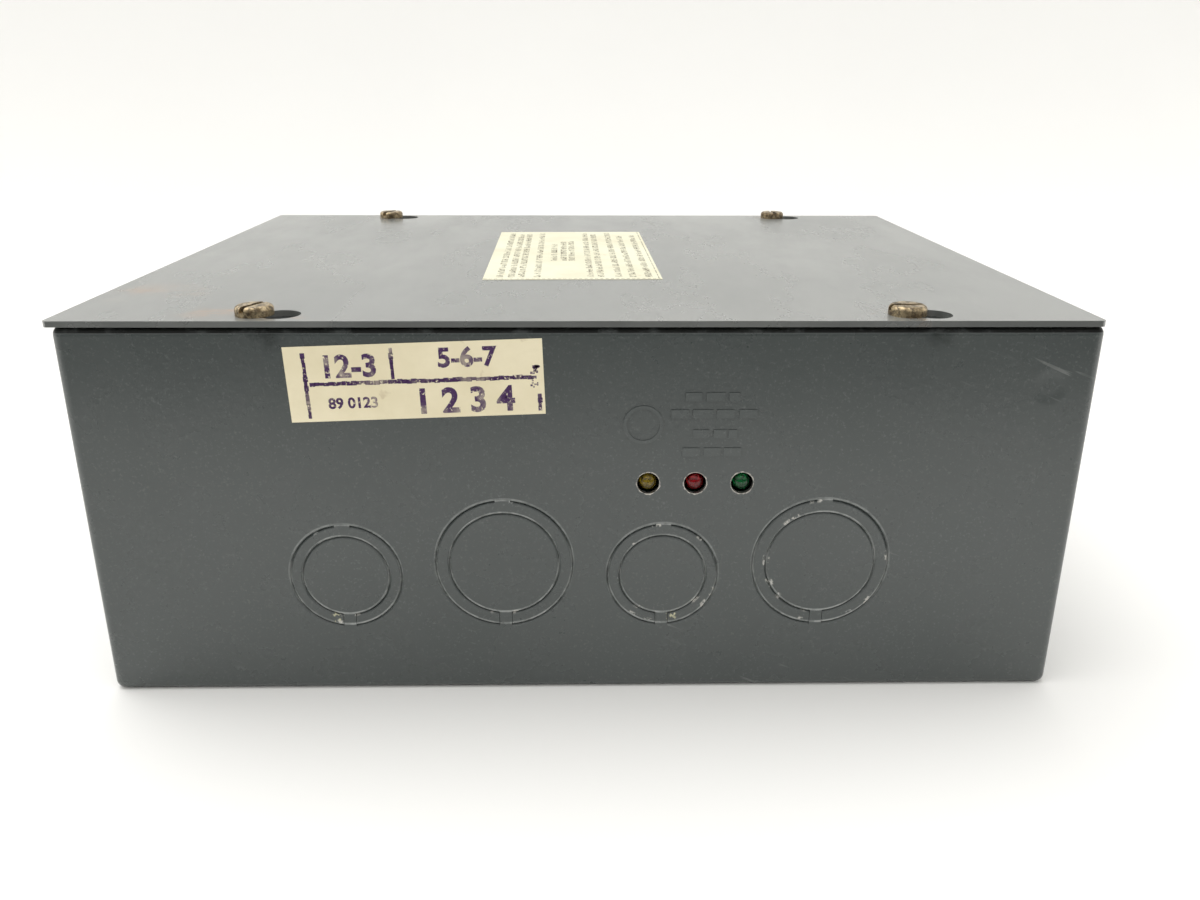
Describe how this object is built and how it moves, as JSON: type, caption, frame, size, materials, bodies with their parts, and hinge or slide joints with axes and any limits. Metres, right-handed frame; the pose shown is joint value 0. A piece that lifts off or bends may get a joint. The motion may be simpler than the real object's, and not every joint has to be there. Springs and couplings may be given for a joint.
{
  "type": "hard-wired surge protector box",
  "caption": "Flat grey sheet-steel junction box with a screwed keyhole cover, ringed knockouts and small indicator lamps, holding a hard-wired surge protector board.",
  "frame": {"origin": "centre of the box's back face, which is at z = 0", "axes": "+X along the long side, +Y away from the wall with the lamps, +Z out through the cover"},
  "size_m": [0.2552, 0.2037, 0.1041],
  "materials": {
    "grey_enamel": "baked grey enamel over sheet steel, satin, slightly worn",
    "cover_enamel": "baked grey enamel, semi-gloss",
    "knockout_enamel": "baked grey enamel chipped along the sheared edges",
    "yellow_zinc": "aged yellow zinc plate",
    "ivory_label": "faded printed paper",
    "cream_label": "matt paper with stamped ink",
    "amber_lens": "unlit tinted epoxy",
    "red_lens": "unlit tinted epoxy",
    "green_lens": "unlit tinted epoxy",
    "tinned_wire": "tinned copper",
    "fibre_board": "green solder mask over glass fibre",
    "white_nylon": "natural nylon",
    "zinc_steel": "bright zinc plate",
    "fish_paper": "grey fish paper",
    "black_plastic": "moulded, matt",
    "brass_plate": "satin",
    "blue_coating": "dipped epoxy",
    "fuse_glass": "clear",
    "nickel_cap": "nickel plate",
    "yellow_case": "moulded case",
    "black_sleeve": "shrink sleeve with a bare aluminium top",
    "white_ceramic": "matt cement-filled ceramic",
    "green_core": "powder-coated ferrite",
    "copper_wire": "enamelled copper",
    "lead_insulation": "soft insulation",
    "aluminium_lug": "cast",
    "green_screw": "green dyed zinc",
    "green_insulation": "soft insulation"
  },
  "bodies": {
    "box": {"enclosure_tray": "grey_enamel", "stamp_label": "cream_label", "led_amber": "amber_lens", "led_red": "red_lens", "led_green": "green_lens", "led_leads": "tinned_wire", "led_board": "fibre_board", "led_board_spacers": "white_nylon", "main_board": "fibre_board", "board_standoffs": "zinc_steel", "board_screws": "zinc_steel", "insulator_sheet": "fish_paper", "terminal_block_base": "black_plastic", "terminal_plates": "brass_plate", "terminal_screws": "zinc_steel", "varistors": "blue_coating", "component_leads": "tinned_wire", "fuse_glass": "fuse_glass", "fuse_caps": "nickel_cap", "fuse_clips": "nickel_cap", "film_capacitors": "yellow_case", "electrolytic_capacitor": "black_sleeve", "relay_case": "black_plastic", "bridge_rectifier": "black_plastic", "power_resistors": "white_ceramic", "choke_core": "green_core", "choke_winding": "copper_wire", "wire_header": "white_nylon", "led_wires": "lead_insulation", "ground_lug": "aluminium_lug", "ground_screws": "green_screw", "ground_wire": "green_insulation", "knockout_ring_front_1": "knockout_enamel", "knockout_ring_front_2": "knockout_enamel", "knockout_ring_front_3": "knockout_enamel", "knockout_ring_front_4": "knockout_enamel", "knockout_rings_back": "knockout_enamel", "knockout_rings_left": "knockout_enamel", "knockout_rings_right": "knockout_enamel", "knockout_disc_front_1": "knockout_enamel", "knockout_disc_front_2": "knockout_enamel", "knockout_disc_front_3": "knockout_enamel", "knockout_disc_front_4": "knockout_enamel", "knockout_discs_back": "knockout_enamel", "knockout_discs_left": "knockout_enamel", "knockout_discs_right": "knockout_enamel"},
    "cover_screws": {"cover_screw_front_left": "yellow_zinc", "cover_screw_front_right": "yellow_zinc", "cover_screw_back_left": "yellow_zinc", "cover_screw_back_right": "yellow_zinc"},
    "cover": {"cover_plate": "cover_enamel", "cover_label": "ivory_label"}
  },
  "joints": [
    {"name": "cover_lift", "type": "slide", "parent": "box", "child": "cover_screws", "axis": [0, 0, 1], "range_m": [0, 0.13]},
    {"name": "cover_slide", "type": "slide", "parent": "cover_screws", "child": "cover", "axis": [-1, 0, 0], "range_m": [0, 0.0061]}
  ]
}
